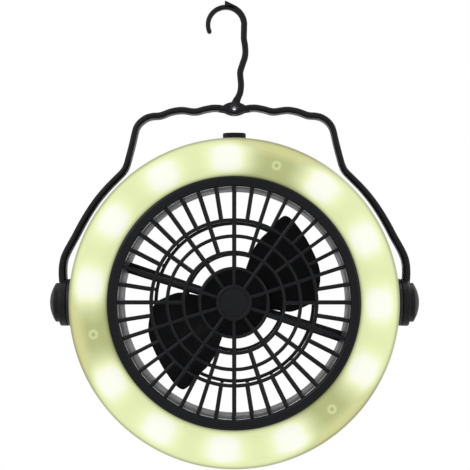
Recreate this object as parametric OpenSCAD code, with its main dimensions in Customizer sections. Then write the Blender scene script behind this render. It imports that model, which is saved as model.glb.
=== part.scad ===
// Camping fan with a ring lamp, hung from a hook. Millimetres.
// Every piece is drawn in the face frame: X to the right, Y up, Z out of the front, fan centre at 0.
// placed() then stands it up, with the origin on the hook's seat, right above the fan.

/* [Rear shell] */
// Outside diameter of the rear shell
body_d = 202.5; // [198:0.5:206]
// Depth from the bezel's face to the shell's back
body_t = 50; // [48:0.5:54]
// Wall of the rear shell
shell_wall = 2.2; // [1.8:0.1:2.6]
// Rounding where the shell's side meets its back
shell_corner_r = 6; // [5:0.5:7]
// Height of the shell's rim above the pivot axis
rim_z = 9; // [8:0.5:10]
// Height of the tongue that centres the diffuser on the rim
tongue_h = 3.5; // [2.5:0.5:5]

/* [Diffuser] */
// How far the shell's rim stands out past the diffuser
rim_step = 0.5; // [0.3:0.1:1]
// Wall of the diffuser
lens_wall = 1.8; // [1.4:0.1:2.2]
// Rounding of the diffuser's outer edge
lens_corner_r = 6; // [4:0.5:7]
// How far the bezel's face stands in front of the diffuser's
bezel_proud = 1.5; // [0.5:0.1:2.5]
// Height of the rolled lip round the diffuser's inner edge
lens_lip_h = 0.6; // [0.4:0.1:0.8]

/* [Grilles] */
// Width of the ring from the duct's bore to the shell's side
ring_w = 30.85; // [29.5:0.05:32]
// Width of the bezel's face
bezel_w = 6.4; // [6:0.1:7.2]
// Height of the bezel
bezel_h = 5.8; // [5.4:0.1:6.4]
// Rounding of the bezel's front edges
bezel_edge_r = 1.6; // [1:0.1:2]
// Radius of the innermost grille ring's middle
ring_r0 = 20.7; // [19:0.1:22]
// Step from one grille ring to the next
ring_pitch = 9.8; // [9:0.1:10.4]
// Width of spokes and rings
bar_w = 2.2; // [1.8:0.1:2.6]
// Depth of spokes and rings
bar_t = 3; // [2.4:0.1:3.6]
// How far the front spokes lie behind the bezel's face
bar_set = 1.5; // [1.2:0.1:1.9]
// Radius of the front grille's centre disc
disc_r = 10.9; // [10:0.1:13]
// Spokes in the outer band of each grille, a multiple of four
spoke_n = 40; // [32:4:48]
// Width of the two struts that carry the motor
strut_w = 7; // [6:0.1:8]
// Angle of the strut with the motor's leads
strut_a = 162; // [158:1:164]

/* [Air duct] */
// Wall of the duct
duct_wall = 1.8; // [1.4:0.1:2]
// Width of the duct's front flange
flange_w = 10; // [9.6:0.1:10.4]
// Thickness of the duct's front flange
flange_t = 2; // [1.6:0.1:2.4]

/* [Propeller and motor] */
// Outside radius of the propeller's hub
hub_r = 22; // [21:0.1:24]
// Height of the hub
hub_h = 18; // [17:0.5:19]
// Wall of the hub
hub_wall = 1.8; // [1.4:0.1:2.2]
// Room between the blades' tips and the duct
tip_gap = 7.7; // [5:0.1:12]
// Height that a blade climbs from its leading to its trailing edge
blade_rise = 15; // [12:0.5:16]
// Camber of a blade
blade_camber = 1.4; // [0.8:0.1:2]
// Thickness of a blade at its middle
blade_t = 1.7; // [1.3:0.1:2.2]
// Radius of the motor's can
motor_r = 12.2; // [11.5:0.1:12.6]
// Length of the motor's can
motor_l = 12.3; // [11.8:0.1:12.6]
// Radius of the motor's shaft
shaft_r = 1; // [0.8:0.1:1.2]
// Wall of the motor's cup
cup_wall = 2.2; // [1.8:0.1:2.4]
// Radius of a motor lead
lead_r = 0.6; // [0.5:0.05:0.7]

/* [Lamp] */
// Width of the LED board
board_w = 14; // [12:0.5:15]
// Side of one LED
led_w = 5; // [3.5:0.1:5.5]
// Depth of the LED board's face behind the diffuser's face
board_depth = 8.6; // [8:0.1:9.4]
// Thickness of both circuit boards
board_t = 1.4; // [1:0.1:1.6]
// Angle from one LED to the next inside a group
led_step = 26.67; // [24:0.1:27]

/* [Assembly posts] */
// How far inside the LEDs' circle the three posts stand
post_in = 1.7; // [1:0.1:2.4]
// Angle of the first post
post_a = 72.7; // [70:0.1:74]
// Radius of a post in the shell
post_r = 4.2; // [3.8:0.1:4.6]
// Radius of a post behind the diffuser
lens_post_r = 2.9; // [2.6:0.1:3.2]
// Radius of the assembly screws' threads
screw_r = 1.2; // [1:0.05:1.3]

/* [Battery bays] */
// Diameter of a cell
cell_d = 14.2; // [13.9:0.1:14.5]
// Length of a cell with its nub
cell_l = 50; // [49.5:0.1:50.5]
// Room between cell and tray
cell_gap = 0.25; // [0.2:0.05:0.4]
// Wall of a tray
tray_wall = 1.2; // [1:0.1:1.4]
// Room at the end with the spring
spring_l = 3.3; // [3:0.1:3.6]
// Thickness of the contact plates
plate_t = 0.5; // [0.4:0.05:0.6]
// Gap round a battery door
door_gap = 0.3; // [0.2:0.05:0.4]

/* [Button and switch] */
// Width of the push button
button_w = 14.4; // [12:0.1:15]
// Length of the push button, front to back
button_l = 10; // [8:0.5:11]
// How far the button stands out of the shell
button_proud = 4.7; // [4:0.1:5.4]
// Travel of the button
button_travel = 2.5; // [1.5:0.1:2.6]
// Distance of the button's middle behind the pivot axis
button_back = 4; // [3:0.5:5]

/* [Bail] */
// Depth of the bail's strap, front to back
bail_depth = 12; // [10:0.5:13]
// Thickness of the strap at the grip
grip_t = 3.6; // [3.2:0.1:4.2]
// Thickness of the strap's discs at the pivots
pivot_t = 4; // [3.7:0.1:4.4]
// Radius of the pivot discs
disc_end_r = 14.6; // [13.6:0.1:15.4]
// Height of the grip above the shell's top
grip_rise = 18.75; // [16:0.05:22]
// How far the grip's corners lie inside the shell's side
grip_in = 40.85; // [39:0.05:43]
// Depth of the waves in the finger grip
wave_h = 1.4; // [0.8:0.1:2]
// Length of the bosses that the bail turns on
boss_h = 1.8; // [1.6:0.1:2.4]
// Thickness of the friction washers
washer_t = 0.6; // [0.5:0.1:0.8]
// Radius of the pivot screws' shoulders
pivot_r = 3; // [2.5:0.1:3.5]
// Running clearance of the pivots, on the radius
run_gap = 0.06; // [0.03:0.01:0.1]
// Radius of the domed caps
cap_r = 12.1; // [11.4:0.1:12.8]
// Height of the domed caps
cap_h = 6.7; // [6:0.1:7.4]

/* [Hook] */
// Radius of the hook's crown, on the middle of its strand
crown_r = 11.6; // [10:0.1:13]
// Height of the crown's centre above the hook's pin
crown_rise = 53.3; // [48:0.1:56]
// Width of the hook's stem
stem_w = 3.9; // [3.4:0.1:4.4]
// Width of the hook's strand at its tip
tip_w = 2.9; // [2.4:0.1:3.2]
// Thickness of the hook, front to back
hook_t = 4.8; // [4:0.1:5.2]
// Outside radius of the hollow pin
pin_r = 2; // [1.8:0.05:2.2]
// Radius of the hole along the pin
pin_bore_r = 1.3; // [1:0.05:1.4]

/* [Hidden] */
$fn = 96;
tiny = 0.02;
// how much thinner a lead's bare end is, on the radius
thin = 0.06;
// free room between pieces that face each other
gap = 0.1;
slip = 0.2;

body_r = body_d / 2;
z_face = body_t / 2;
z_back = -body_t / 2;
z_in = z_back + shell_wall;
duct_r = body_r - ring_w;
duct_out_r = duct_r + duct_wall;
shell_in_r = body_r - shell_wall;

lens_r = body_r - rim_step;
lens_z = z_face - bezel_proud;
bezel_r = duct_r + bezel_w;
flange_z = z_face - bezel_h;
lens_in_r = bezel_r + slip;
flange_r = duct_r + flange_w;
// circle of the screws that hold the grille to the flange
grille_screw_at = bezel_r - 2.4;

board_z = lens_z - board_depth;
board_back_z = board_z - board_t;
board_mid_r = (flange_r + lens_r - lens_wall) / 2 - 1;
led_r = board_mid_r;
post_circle_r = led_r - post_in;

bar_z = z_face - bar_set - bar_t;
ring_r = [for (k = [0:3]) ring_r0 + k * ring_pitch];

guard_z = z_back + 4.5;
strut_t = bar_t + 1;
guard_top_z = guard_z + strut_t;
guard_lip = 0.8;

motor_z = guard_z + 2;
motor_top_z = motor_z + motor_l;
cup_r = motor_r + slip + cup_wall;
cup_cap_t = 1.8;
ear_r = 2.3;
ear_at = cup_r + 1.2;
ear_a = strut_a - 90;
ear_l = 8;
hub_top_z = hub_h / 2;
hub_low_z = -hub_h / 2;
hub_boss_r = 4;
tip_r = duct_r - tip_gap;
hub_boss_z = motor_top_z + cup_cap_t + 1.4;

door_x1 = duct_out_r + 0.6;
cell_x = duct_out_r + 0.3 + tray_wall + cell_gap + cell_d / 2;
cell_z = z_in + 0.6 + cell_d / 2;
tray_x1 = cell_x - cell_d / 2 - cell_gap;
tray_x2 = cell_x + cell_d / 2 + cell_gap;
tray_len = cell_l + spring_l + plate_t;
tray_floor_z = cell_z + cell_d / 2 + cell_gap;
tray_top_z = tray_floor_z + tray_wall;
tray_flat_r = body_r - shell_corner_r - 0.5;
door_x2 = tray_x2 + tray_wall + 0.2;
door_len = tray_len + 2 * tray_wall + 1.4;
bay_as = [for (k = [0:2]) post_a + 60 + 120 * k];
post_as = [for (k = [0:2]) post_a + 120 * k];

button_z = -button_back;
button_top = body_r + button_proud;
button_flange_t = 1.5;
button_flange_y = sqrt(shell_in_r * shell_in_r - pow(button_w / 2 + 1.5, 2)) - button_flange_t - gap;
switch_w = 8.5;
switch_h = 9;
switch_top = button_flange_y - button_travel - 1.7;
board_y = switch_top - switch_h;
control_half = 14;
plunger_r = 1.6;

boss_x = body_r + boss_h;
washer_r = 9.2;
disc_x = boss_x + washer_t + 2 * gap;
disc_out_x = disc_x + pivot_t;
disc_mid_x = disc_x + pivot_t / 2;
head_r = 5;
head_t = 2;
snap_r = cap_r - 1.9;
snap_w = 1.2;

grip_y = body_r + grip_rise;
grip_half = body_r - grip_in;
pin_y = grip_y + 0.5;
eye_w = 17.4;
eye_h = 7.7;
// how far the eye's middle lies above the pin
eye_up = 0.2;
slot_half = 8.3;
slot_t = hook_t + 0.6;
crown_x = -0.4655 * crown_r;
seat_r = crown_r - stem_w / 2;
hang_h = pin_y + crown_rise + sqrt(seat_r * seat_r - crown_x * crown_x);

module placed() translate([0, 0, -hang_h]) rotate([90, 0, 0]) children();
module at_polar(r, a, z = 0) rotate([0, 0, a]) translate([r, 0, z]) children();
module on_posts() for (a = post_as) at_polar(post_circle_r, a) children();
module in_bays() for (a = bay_as) rotate([0, 0, a]) children();
// both pivots, with X pointing outwards
module both_sides() for (s = [0, 1]) mirror([s, 0, 0]) children();
module tube(r_out, r_in, z1, z2) translate([0, 0, z1]) difference() {
    cylinder(r = r_out, h = z2 - z1);
    translate([0, 0, -1]) cylinder(r = r_in, h = z2 - z1 + 2);
}
module rod(r, z1, z2) translate([0, 0, z1]) cylinder(r = r, h = z2 - z1);
// a rod along X
module bar_x(r, x1, x2) translate([x1, 0, 0]) rotate([0, 90, 0]) cylinder(r = r, h = x2 - x1);
module block(x1, x2, y1, y2, z1, z2) translate([x1, y1, z1]) cube([x2 - x1, y2 - y1, z2 - z1]);
module round_rect(w, l, r) union() {
    square([w - 2 * r, l], center = true);
    square([w, l - 2 * r], center = true);
    for (x = [-1, 1], y = [-1, 1]) translate([x * (w / 2 - r), y * (l / 2 - r)]) circle(r = r);
}
// a section from r1 to r2 and z1 to z2, with its outer corner rounded at the top
module corner_section(r1, r2, z1, z2, c) union() {
    translate([r1, z1]) square([r2 - r1 - c, z2 - z1]);
    translate([r1, z1]) square([r2 - r1, z2 - z1 - c]);
    translate([r2 - c, z2 - c]) circle(r = c);
}

// a smooth curve through the points of p, with n steps between two of them
function curve_at(a, b, c, d, t) =
    (2 * b + (c - a) * t + (2 * a - 5 * b + 4 * c - d) * t * t + (3 * b - a - 3 * c + d) * t * t * t) / 2;
function smooth(p, n) = [
    for (i = [0:len(p) - 2], k = [0:n - 1])
        curve_at(p[max(i - 1, 0)], p[i], p[i + 1], p[min(i + 2, len(p) - 1)], k / n),
    p[len(p) - 1]
];
function polar(r, a) = [r * cos(a), r * sin(a)];
function flipped(p) = [for (i = [len(p) - 1:-1:0]) p[i]];
function mirrored(p) = [for (v = p) [-v[0], v[1]]];
function edge(path, w, s) = [
    for (i = [0:len(path) - 1])
        let (d = path[min(i + 1, len(path) - 1)] - path[max(i - 1, 0)])
            path[i] + [-d[1], d[0]] / norm(d) * s * w[i] / 2
];
// a flat strap of the widths w along a path, with round ends
module strap(path, w) {
    last = len(path) - 1;
    polygon(concat(edge(path, w, 1), flipped(edge(path, w, -1))));
    translate(path[0]) circle(d = w[0]);
    translate(path[last]) circle(d = w[last]);
}

// ---- grilles ----

// spokes and rings, seen from the front
module grille_bars(rings, hub, outer) {
    for (r = rings) difference() {
        circle(r = r + bar_w / 2);
        circle(r = r - bar_w / 2);
    }
    spokes(spoke_n, ring_r[3], outer, 0);
    spokes(spoke_n / 2, ring_r[1], ring_r[3], 0);
    spokes(spoke_n / 4, hub, ring_r[1], 720 / spoke_n);
}
module spokes(n, r1, r2, first) for (k = [0:n - 1])
    rotate(first + k * 360 / n) translate([r1, -bar_w / 2]) square([r2 - r1, bar_w]);

module front_grille() color([0.13, 0.13, 0.15]) difference() {
    union() {
        rotate_extrude() bezel_section();
        translate([0, 0, bar_z]) linear_extrude(bar_t) grille_bars(ring_r, disc_r - 1, duct_r + 1);
        rotate_extrude() centre_disc_section();
    }
    for (k = [0:3]) at_polar(grille_screw_at, 45 + 90 * k, flange_z - 1) cylinder(r = 0.95, h = 4.4);
}
module bezel_section() union() {
    c = bezel_edge_r;
    translate([duct_r, flange_z]) square([bezel_w, bezel_h - c]);
    translate([duct_r + c, flange_z]) square([bezel_w - 2 * c, bezel_h]);
    for (r = [duct_r + c, bezel_r - c]) translate([r, z_face - c]) circle(r = c);
}
// a shallow dish with a round rim
module centre_disc_section() union() {
    translate([0, bar_z]) square([disc_r - 0.9, bar_t]);
    translate([disc_r - 1.8, bar_z]) square([1.8, bar_t - 0.1]);
    translate([disc_r - 0.9, bar_z + bar_t - 0.1]) circle(r = 0.9);
}

module grille_screws() color([0.6, 0.6, 0.62]) for (k = [0:3])
    at_polar(grille_screw_at, 45 + 90 * k) mirror([0, 0, 1]) pan_screw(0.9, flange_t + 3, 1.8, 1.3,
        flange_t - flange_z);
module rear_guard() color([0.12, 0.12, 0.13]) difference() {
    union() {
        tube(duct_out_r, duct_r, z_in, guard_top_z);
        // lip that centres the guard in the shell's opening
        tube(duct_r + guard_lip, duct_r, z_back + slip, z_in + tiny);
        translate([0, 0, guard_z]) linear_extrude(bar_t)
            grille_bars([ring_r[1], ring_r[3]], cup_r - 1, duct_r + 0.9);
        for (s = [0, 180]) rotate([0, 0, strut_a + s]) translate([0, 0, guard_z])
            linear_extrude(strut_t) strut_outline();
        rod(cup_r, guard_z, motor_top_z);
        for (s = [0, 180]) at_polar(ear_at, ear_a + s) rod(ear_r, motor_top_z - ear_l, motor_top_z);
    }
    rod(motor_r + slip, motor_z, motor_top_z + 1);
    for (s = [0, 180]) at_polar(ear_at, ear_a + s) rod(0.85, motor_top_z - 6, motor_top_z + 1);
    // the leads leave through this slot
    rotate([0, 0, strut_a])
        block(motor_r - 1, cup_r + 1, -2, 2, guard_z + strut_t, guard_z + strut_t + 2.4);
}
module strut_outline() polygon([[cup_r - 1, -strut_w / 2 + 0.6], [duct_r + 0.9, -strut_w / 2],
    [duct_r + 0.9, strut_w / 2], [cup_r - 1, strut_w / 2 - 0.6]]);

// ---- body ----

module rear_shell() color([0.11, 0.11, 0.12]) difference() {
    union() {
        rotate_extrude() shell_section();
        on_posts() rod(post_r, z_in - tiny, board_back_z);
        both_sides() pivot_boss();
        for (s = [0, 1]) mirror([s, 0, 0]) board_rail();
    }
    on_posts() {
        rod(screw_r + slip, z_back - 1, board_back_z + 1);
        rod(2.6, z_back - 1, z_in + 24);
    }
    in_bays() bay_outline(door_gap, z_back - 1, z_in + 0.5);
    translate([0, body_r, button_z]) rotate([90, 0, 0]) linear_extrude(12, center = true)
        round_rect(button_w + 2 * door_gap, button_l + 2 * door_gap, 2.5 + door_gap);
    both_sides() bar_x(2, body_r - 7.2, boss_x + 1);
}
module shell_section() union() {
    difference() {
        mirror([0, 1]) corner_section(duct_r + guard_lip + gap, body_r, -rim_z, -z_back, shell_corner_r);
        mirror([0, 1]) corner_section(duct_r - 1, shell_in_r, -rim_z - 1, -z_in,
            shell_corner_r - shell_wall);
    }
    translate([lens_r - lens_wall - slip - 1.9, rim_z - 2]) square([1.9, 2 + tongue_h]);
    translate([lens_r - lens_wall - slip - 1.9, rim_z - 2]) square([shell_wall + 1, 2]);
}
module pivot_boss() difference() {
    union() {
        bar_x(disc_end_r, body_r - 1.9, boss_x);
        bar_x(5, body_r - 8, body_r);
    }
    rod(lens_r + slip, rim_z, z_face);
}
// a rail that the control board slides into
module board_rail() difference() {
    block(control_half - 1.2, control_half + 1.6, board_y - board_t - 1.6, board_y + 1.6, z_in - tiny, 7);
    block(0, control_half + gap, board_y - board_t - gap, board_y + gap, z_in + 3, 8);
}
// plan of a battery door, with its gap g
module bay_outline(g, z1, z2) translate([(door_x1 + door_x2) / 2, 0, z1]) linear_extrude(z2 - z1)
    round_rect(door_x2 - door_x1 + 2 * g, door_len + 2 * g, 3 + g);

module diffuser() color([0.93, 0.96, 0.78]) difference() {
    union() {
        rotate_extrude() lens_section();
        on_posts() rod(lens_post_r, board_z, lens_z - lens_wall + tiny);
    }
    on_posts() rod(screw_r, board_z - 1, lens_z - lens_wall - 0.6);
}
module lens_section() union() {
    difference() {
        corner_section(lens_in_r, lens_r, rim_z, lens_z, lens_corner_r);
        corner_section(lens_in_r + lens_wall, lens_r - lens_wall, rim_z - 1, lens_z - lens_wall,
            lens_corner_r - lens_wall);
        translate([lens_in_r - 1, rim_z - 1]) square([lens_wall + 1.1, flange_z + gap - rim_z + 1]);
    }
    translate([lens_in_r + lens_wall / 2, lens_z - lens_wall / 2 + lens_lip_h])
        circle(r = lens_wall / 2);
}

module air_duct() color([0.16, 0.16, 0.17]) difference() {
    union() {
        tube(duct_out_r, duct_r, guard_top_z, flange_z);
        tube(flange_r, duct_r, flange_z - flange_t, flange_z);
    }
    for (k = [0:3]) at_polar(grille_screw_at, 45 + 90 * k, flange_z - flange_t - 1)
        cylinder(r = 1.3, h = flange_t + 2);
    // notch for the motor's leads
    rotate([0, 0, strut_a]) block(duct_r - 1, duct_out_r + 1, -2, 2, guard_top_z - 1, guard_top_z + 1.6);
}

module assembly_screws() color([0.6, 0.6, 0.62]) on_posts() {
    seat = z_in + 24;
    rod(screw_r - 0.05, seat - tiny, lens_z - lens_wall - 1);
    rod(2.4, seat - 1.8, seat);
}

// ---- lamp ----

module led_board() color([0.9, 0.91, 0.9]) difference() {
    tube(board_mid_r + board_w / 2, board_mid_r - board_w / 2, board_back_z, board_z);
    on_posts() rod(screw_r + slip, board_back_z - 1, board_z + 1);
}
module leds() color([1, 0.96, 0.7])
    for (a = post_as, k = [0:3]) at_polar(led_r, a + 60 + (k - 1.5) * led_step, board_z) {
        translate([0, 0, 0.7]) cube([led_w, led_w, 1.4], center = true);
        translate([0, 0, 1.4 - tiny]) cylinder(r = led_w * 0.4, h = 0.2);
    }

// ---- propeller and motor ----

// outer edge of a blade, as [angle, share of the tip's radius], from its leading to its trailing edge
blade_edge = smooth([[-10, 0.52], [-9, 0.58], [-4, 0.69], [1, 0.79], [9, 0.85], [20, 0.905],
    [35, 0.932], [47, 0.967], [57, 1], [61, 0.96], [64, 0.79], [67.5, 0.68], [71, 0.52]], 2);
blade_n = len(blade_edge);
blade_rows = 7;
blade_root_r = hub_r - hub_wall / 2;
blade_a0 = blade_edge[0][0];
blade_a1 = blade_edge[blade_n - 1][0];
// one point of the blade: i along the edge, j from root to tip, side 1 in front and -1 behind
function blade_point(i, j, side) =
    let (
        a = blade_edge[i][0],
        r = blade_root_r + (blade_edge[i][1] * tip_r - blade_root_r) * j / blade_rows,
        u = 2 * (a - blade_a0) / (blade_a1 - blade_a0) - 1,
        rim = (i == 0 || i == blade_n - 1 || j == blade_rows) ? 0.35 : 1,
        z = blade_rise / 2 * u + blade_camber * (1 - u * u) + side * rim * blade_t * 0.6
    ) [r * cos(a), r * sin(a), z - 0.4];
module blade() {
    rows = blade_rows + 1;
    size = blade_n * rows;
    polyhedron(
        points = [for (s = [1, -1], i = [0:blade_n - 1], j = [0:blade_rows]) blade_point(i, j, s)],
        faces = concat(
            [for (i = [0:blade_n - 2], j = [0:blade_rows - 1])
                let (p = i * rows + j) each [[p, p + rows, p + 1], [p + 1, p + rows, p + rows + 1]]],
            [for (i = [0:blade_n - 2], j = [0:blade_rows - 1])
                let (p = size + i * rows + j) each [[p, p + 1, p + rows], [p + 1, p + rows + 1, p + rows]]],
            [for (i = [0:blade_n - 2]) let (p = i * rows, q = p + rows)
                each [[p, p + size, q], [q, p + size, q + size]]],
            [for (i = [0:blade_n - 2]) let (p = i * rows + blade_rows, q = p + rows)
                each [[p, q, p + size], [q, q + size, p + size]]],
            [for (j = [0:blade_rows - 1]) each [[j, j + 1, j + size], [j + 1, j + 1 + size, j + size]]],
            [for (j = [0:blade_rows - 1]) let (p = (blade_n - 1) * rows + j)
                each [[p, p + size, p + 1], [p + 1, p + size, p + 1 + size]]]
        )
    );
}
module propeller() color([0.09, 0.09, 0.1]) union() {
    for (s = [0, 180]) rotate([0, 0, s]) blade();
    rotate_extrude() hub_section();
}
module hub_section() difference() {
    corner_section(0, hub_r, hub_low_z, hub_top_z, 3);
    difference() {
        corner_section(-1, hub_r - hub_wall, hub_low_z - 1, hub_top_z - hub_wall, 3 - hub_wall);
        translate([-1, hub_boss_z]) square([hub_boss_r + 1, hub_h]);
    }
    translate([-1, hub_low_z]) square([shaft_r + 1, hub_h - hub_wall - 1.4]);
}
module motor_shaft() color([0.75, 0.76, 0.78]) rod(shaft_r, motor_z + 1.6, hub_top_z - hub_wall - 1.5);
module motor() color([0.7, 0.71, 0.73]) difference() {
    union() {
        rod(motor_r, motor_z + gap, motor_top_z);
        rod(3.1, motor_z + gap, motor_top_z + 1.2);
    }
    rod(shaft_r + run_gap, motor_z + 1.4, motor_top_z + 2);
}
module motor_cap() color([0.12, 0.12, 0.13]) difference() {
    union() {
        rod(cup_r, motor_top_z, motor_top_z + cup_cap_t);
        for (s = [0, 180]) at_polar(ear_at, ear_a + s) rod(ear_r, motor_top_z, motor_top_z + cup_cap_t);
    }
    rod(3.4, motor_top_z - 1, motor_top_z + cup_cap_t + 1);
    for (s = [0, 180]) at_polar(ear_at, ear_a + s) rod(1, motor_top_z - 1, motor_top_z + cup_cap_t + 1);
}
module motor_cap_screws() color([0.6, 0.6, 0.62])
    for (s = [0, 180]) at_polar(ear_at, ear_a + s) pan_screw(0.8, 5.5, 1.6, 1, motor_top_z + cup_cap_t);
// a screw that points down from z, its head above
module pan_screw(r, l, head, head_h, z) union() {
    rod(r, z - l, z + tiny);
    rod(head, z, z + head_h);
}

lead_z = guard_z + strut_t + lead_r + 0.05;
deck_z = tray_top_z + 1 + lead_r;
board_low_y = board_y - board_t;
// a lead runs through the duct, turns to the front, round the ring and up to the control board
module motor_leads() color([0.1, 0.1, 0.1]) for (s = [0, 1]) {
    side = (s - 0.5) * 2.6 * lead_r;
    run_r = duct_out_r + 3 + s * 2.6 * lead_r;
    last_a = 94 + 2.5 * s;
    rotate([0, 0, strut_a]) translate([0, side, 0]) {
        translate([0, 0, lead_z]) bar_x(lead_r, motor_r + slip + 0.6, run_r + lead_r);
        translate([run_r, 0, 0]) rod(lead_r - thin, lead_z, deck_z);
    }
    lead_arc(run_r, last_a, strut_a + asin(side / run_r), deck_z);
    riser(run_r, last_a, deck_z, board_low_y);
}
// the last bit of a lead, up to the height y
module riser(r, a, z, y) translate([r * cos(a), r * sin(a) - lead_r, z]) rotate([-90, 0, 0])
    cylinder(r = lead_r - thin, h = y - r * sin(a) + lead_r);
// a lead that runs round the ring from angle a1 to a2
module lead_arc(r, a1, a2, z) {
    over = lead_r / r * 180 / PI;
    translate([0, 0, z]) rotate([0, 0, a1 - over])
        rotate_extrude(angle = a2 - a1 + 2 * over) translate([r, 0]) circle(r = lead_r);
}

// ---- battery bays ----

module battery_trays() color([0.14, 0.14, 0.15]) in_bays() difference() {
    y = tray_len / 2;
    w = tray_wall;
    union() {
        block(tray_x1 - w, tray_x2 + w, -y - w, y + w, z_in, tray_top_z);
        intersection() {
            block(tray_x1 - w, tray_x2 + w + 2, -y - w - 2.4, y + w + 2.4, z_in, z_in + 1.4);
            rod(tray_flat_r, z_in - 1, z_in + 3);
        }
    }
    block(tray_x1, tray_x2, -y, y, z_in - 1, tray_floor_z);
}
contact_w = cell_d - 3.2;
// the cell's middle along the tray
cell_shift = (plate_t - spring_l) / 2;
module cells() color([0.35, 0.36, 0.38]) in_bays()
    translate([cell_x, cell_shift, cell_z]) rotate([90, 0, 0]) {
        translate([0, 0, -cell_l / 2]) cylinder(r = cell_d / 2, h = cell_l - 1.2);
        translate([0, 0, cell_l / 2 - 1.2 - tiny]) cylinder(r = 2.75, h = 1.2 + tiny);
    }
module contact_plates() color([0.8, 0.8, 0.78]) in_bays() for (s = [-1, 1])
    translate([cell_x, s * (tray_len - plate_t) / 2, cell_z])
        cube([contact_w, plate_t, contact_w], center = true);
// conical spring of four turns between the plate and the cell
spring_turns = 4;
spring_seg = 10;
spring_wire = 0.35;
spring_r = contact_w / 2 - 0.9;
module contact_springs() color([0.82, 0.82, 0.8]) in_bays()
    translate([cell_x, tray_len / 2 - plate_t, cell_z]) rotate([90, 0, 0]) spring_coil();
function spring_ring(k) =
    let (t = k / (spring_turns * spring_seg), a = 360 * k / spring_seg, r = spring_r - 2 * t,
        z = spring_wire + (spring_l - plate_t - 2 * spring_wire) * t)
        [for (m = [0:5]) let (d = 60 * m, q = r + spring_wire * cos(d))
            [q * cos(a), q * sin(a), z + spring_wire * sin(d) * 0.95]];
module spring_coil() {
    n = spring_turns * spring_seg;
    polyhedron(
        points = [for (k = [0:n]) each spring_ring(k)],
        faces = concat(
            [[for (m = [0:5]) m], [for (m = [5:-1:0]) n * 6 + m]],
            [for (k = [0:n - 1], m = [0:5]) let (p = k * 6 + m, q = k * 6 + (m + 1) % 6)
                each [[p, p + 6, q], [q, p + 6, q + 6]]]
        )
    );
}
module battery_door(k) color([0.13, 0.13, 0.14]) rotate([0, 0, bay_as[k]]) {
    difference() {
        bay_outline(0, z_back, z_in - gap);
        // finger grooves
        for (y = [-3, 0, 3]) translate([door_x2 - 4.5, y, z_back]) rotate([0, 90, 0])
            cylinder(r = 0.8, h = 6, center = true);
    }
    // guide ribs that reach into the tray beside the cell
    rib = tray_len / 3;
    for (x = [tray_x1 + 0.3, tray_x2 - 1.3]) block(x, x + 1, -rib, rib, z_in - gap - tiny, z_in + 1.8);
}
module battery_door_a() battery_door(0);
module battery_door_b() battery_door(1);
module battery_door_c() battery_door(2);

supply_r = duct_out_r + 7;
// angle at which a supply lead drops to a tray's end
bay_half = asin((tray_len / 2 - 3) / supply_r);
module supply_leads() color([0.1, 0.1, 0.1]) {
    supply_run(bay_as[2] - 360 + bay_half, 82);
    supply_run(98, bay_as[0] - bay_half);
    supply_run(bay_as[0] + bay_half, bay_as[1] - bay_half);
    supply_run(bay_as[1] + bay_half, bay_as[2] - bay_half);
    riser(supply_r, 82, deck_z, board_low_y);
    riser(supply_r, 98, deck_z, board_low_y);
    for (k = [0:2], s = [-1, 1]) at_polar(supply_r, bay_as[k] + s * bay_half)
        rod(lead_r - thin, tray_top_z, deck_z);
}
module supply_run(a1, a2) lead_arc(supply_r, a1, a2, deck_z);
module lamp_leads() color([0.6, 0.1, 0.1]) for (x = [-8, -5])
    translate([x, board_y + lead_r, 0]) rod(lead_r, 4, board_back_z);

// ---- button and switch ----

module control_board() color([0.1, 0.35, 0.2])
    block(-control_half, control_half, board_y - board_t, board_y, z_in + 3 + gap, 8);
module push_switch() color([0.2, 0.2, 0.22]) difference() {
    block(-switch_w / 2, switch_w / 2, board_y, switch_top, button_z - switch_w / 2, button_z + switch_w / 2);
    translate([0, switch_top + 1, button_z]) rotate([90, 0, 0])
        cylinder(r = plunger_r + 0.35, h = button_travel + 4);
}
module push_button() color([0.1, 0.1, 0.11]) {
    top = button_top - button_flange_y;
    crown = 90;
    translate([0, button_flange_y, button_z]) rotate([-90, 0, 0]) union() {
        intersection() {
            linear_extrude(top) round_rect(button_w, button_l, 2.5);
            // crowned top
            translate([0, 0, top - crown]) rotate([90, 0, 0]) cylinder(r = crown, h = 30, center = true);
        }
        linear_extrude(button_flange_t) round_rect(button_w + 3, button_l + 3, 3);
        translate([0, 0, -4.6]) cylinder(r = plunger_r, h = 5);
    }
}

// ---- pivots, bail and hook ----

module pivot_screws() color([0.65, 0.66, 0.68]) both_sides() union() {
    bar_x(1.95, body_r - 6.5, boss_x + tiny);
    bar_x(pivot_r, boss_x, disc_out_x - head_t - gap);
    bar_x(head_r, disc_out_x - head_t - gap - tiny, disc_out_x - gap);
}
module friction_washers() color([0.3, 0.3, 0.3]) both_sides() difference() {
    bar_x(washer_r, boss_x, boss_x + washer_t);
    bar_x(pivot_r + gap, boss_x - 1, boss_x + washer_t + 1);
}

// the arm, as [angle, distance from the fan's centre as a share of the shell's radius], from the pivot up
arm_table = [[8.5, 1.06519], [11.1, 1.07407], [13, 1.07802], [15.1, 1.07802], [18, 1.07012],
    [22.5, 1.05728], [27, 1.05333], [31.8, 1.05185], [36.7, 1.05185], [41.9, 1.05136], [47.6, 1.05185],
    [49.7, 1.0558], [51.6, 1.07012]];
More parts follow.
